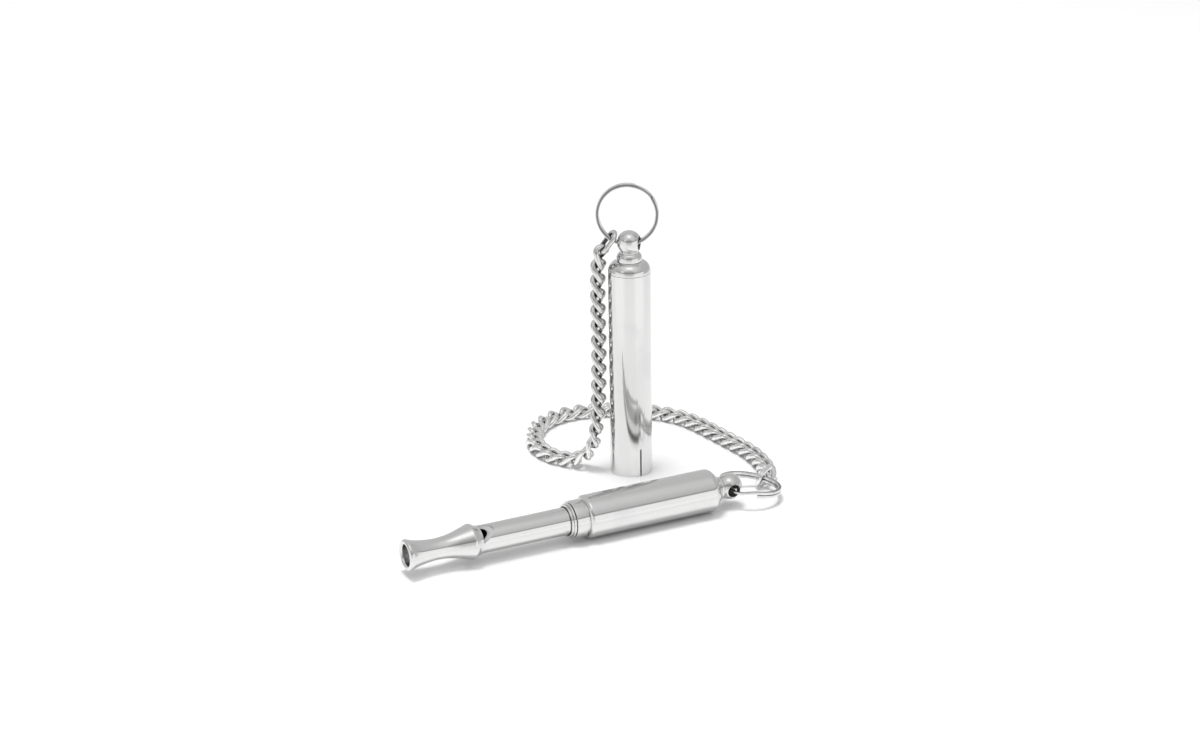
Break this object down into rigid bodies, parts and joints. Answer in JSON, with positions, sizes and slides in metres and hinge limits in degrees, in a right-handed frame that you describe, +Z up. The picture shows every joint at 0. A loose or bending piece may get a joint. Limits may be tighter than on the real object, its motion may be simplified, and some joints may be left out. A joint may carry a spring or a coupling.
{
  "type": "dog whistle",
  "caption": "Adjustable plated dog whistle lying on its side, its tube screwed into a barrel, with a standing slip-on cap and a curb chain joining the two through split rings.",
  "frame": {"origin": "middle of the floor rectangle under the whistle, cap and rings, measured without the chain", "axes": "+X along the whistle from its mouth to its ring, +Y from the whistle towards the standing cap, +Z up"},
  "size_m": [0.1013, 0.0734, 0.0707],
  "materials": {
    "plated_shell": "polished nickel plate",
    "plated_wire": "bright plated wire",
    "inner_brass": "turned"
  },
  "bodies": {
    "barrel_body": {"barrel": "plated_shell", "barrel_finial": "plated_shell", "tuning_rod": "inner_brass", "piston_head": "inner_brass"},
    "thread_body": {"thread_ferrule": "inner_brass"},
    "tube_body": {"whistle_tube": "plated_shell", "mouthpiece": "plated_shell", "windway_plug": "inner_brass"},
    "nut_body": {"lock_nut": "plated_shell"},
    "whistle_ring_body": {"whistle_ring": "plated_wire"},
    "chain_body": {"whistle_connector": "plated_wire", "chain_link_01": "plated_wire", "chain_link_02": "plated_wire", "chain_link_03": "plated_wire", "chain_link_04": "plated_wire", "chain_link_05": "plated_wire", "chain_link_06": "plated_wire", "chain_link_07": "plated_wire", "chain_link_08": "plated_wire", "chain_link_09": "plated_wire", "chain_link_10": "plated_wire", "chain_link_11": "plated_wire", "chain_link_12": "plated_wire", "chain_link_13": "plated_wire", "chain_link_14": "plated_wire", "chain_link_15": "plated_wire", "chain_link_16": "plated_wire", "chain_link_17": "plated_wire", "chain_link_18": "plated_wire", "chain_link_19": "plated_wire", "chain_link_20": "plated_wire", "chain_link_21": "plated_wire", "chain_link_22": "plated_wire", "chain_link_23": "plated_wire", "chain_link_24": "plated_wire", "chain_link_25": "plated_wire", "chain_link_26": "plated_wire", "chain_link_27": "plated_wire", "chain_link_28": "plated_wire", "chain_link_29": "plated_wire", "chain_link_30": "plated_wire", "chain_link_31": "plated_wire", "chain_link_32": "plated_wire"},
    "cap_body": {"cap_tube": "plated_shell", "cap_finial": "plated_shell", "cap_connector": "plated_wire", "chain_link_33": "plated_wire", "chain_link_34": "plated_wire", "chain_link_35": "plated_wire", "chain_link_36": "plated_wire", "chain_link_37": "plated_wire", "chain_link_38": "plated_wire", "chain_link_39": "plated_wire", "chain_link_40": "plated_wire", "chain_link_41": "plated_wire", "chain_link_42": "plated_wire", "chain_link_43": "plated_wire", "chain_link_44": "plated_wire", "chain_link_45": "plated_wire"},
    "cap_ring_body": {"cap_ring": "plated_wire"}
  },
  "joints": [
    {"name": "tube_travel", "type": "slide", "parent": "barrel_body", "child": "thread_body", "axis": [-1, 0, 0], "range_m": [-0.0044, 0.0044]},
    {"name": "tube_turn", "type": "hinge", "parent": "thread_body", "child": "tube_body", "pos_m": [-0.00786, -0.01456, 0.00498], "axis": [-1, 0, 0], "range_deg": [-1080, 1080]},
    {"name": "lock_nut_turn", "type": "hinge", "parent": "barrel_body", "child": "nut_body", "pos_m": [-0.00766, -0.01456, 0.00498], "axis": [-1, 0, 0], "range_deg": [0, 120]},
    {"name": "whistle_ring_run", "type": "hinge", "parent": "barrel_body", "child": "whistle_ring_body", "pos_m": [0.04004, -0.01318, 0.00344], "axis": [0.1822, 0, 0.9833], "continuous": true},
    {"name": "chain_swing", "type": "hinge", "parent": "barrel_body", "child": "chain_body", "pos_m": [0.04538, -0.00893, 0.00245], "axis": [0, 0, 1], "range_deg": [-25, 18]},
    {"name": "cap_swing", "type": "hinge", "parent": "chain_body", "child": "cap_body", "pos_m": [0.01646, 0.01916, 0.00728], "axis": [0, 0, 1], "range_deg": [-3, 28]},
    {"name": "cap_ring_swing", "type": "hinge", "parent": "cap_body", "child": "cap_ring_body", "pos_m": [0.02381, 0.01537, 0.05655], "axis": [0.866, -0.5, 0], "range_deg": [-12, 14]}
  ],
  "couplings": [
    {"joint": "tube_turn", "follows": "tube_travel", "rad_per_m": 4188.8}
  ]
}
